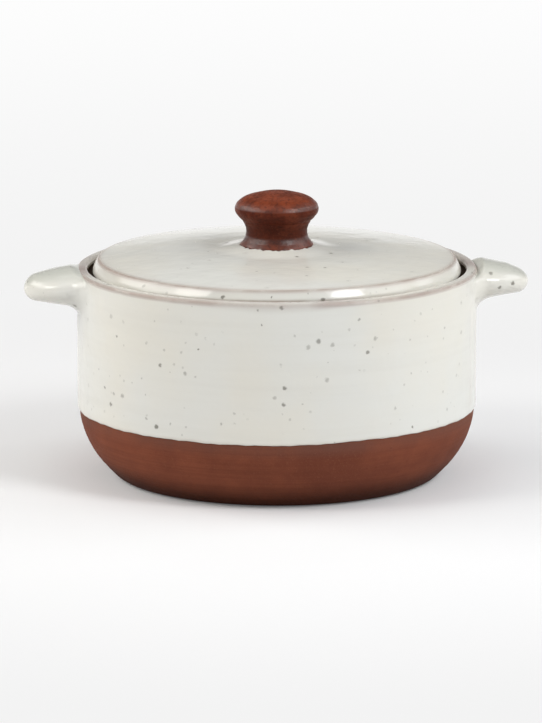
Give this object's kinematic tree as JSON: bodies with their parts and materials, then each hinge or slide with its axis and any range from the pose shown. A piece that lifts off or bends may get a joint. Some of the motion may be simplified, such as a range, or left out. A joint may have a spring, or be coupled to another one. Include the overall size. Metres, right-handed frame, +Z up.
{
  "type": "clay cooking pot",
  "caption": "Round stoneware cooking pot with a bare rounded base, speckled off-white glaze, lug handles and a loose knobbed lid that rests on a ledge inside the rim.",
  "frame": {"origin": "centre of the foot, on the surface that the pot stands on", "axes": "+Z up along the pot's axis, +X towards the right handle, -Y towards the front as pictured"},
  "size_m": [0.253, 0.2, 0.1429],
  "materials": {
    "bare_clay": "matte fired red clay",
    "knob_clay": "satin fired red clay, polished by handling",
    "speckled_glaze": "glossy off-white glaze with fine iron specks"
  },
  "bodies": {
    "pot": {"pot_body": "bare_clay", "pot_outer_glaze": "speckled_glaze", "pot_inner_glaze": "speckled_glaze", "handle_left": "bare_clay", "handle_left_glaze": "speckled_glaze", "handle_right": "bare_clay", "handle_right_glaze": "speckled_glaze"},
    "lid": {"lid_plate": "bare_clay", "lid_top_glaze": "speckled_glaze", "lid_under_glaze": "speckled_glaze", "lid_knob": "knob_clay"}
  },
  "joints": [
    {"name": "lid_lift", "type": "slide", "parent": "pot", "child": "lid", "axis": [0, 0, 1], "range_m": [0, 0.15]}
  ]
}
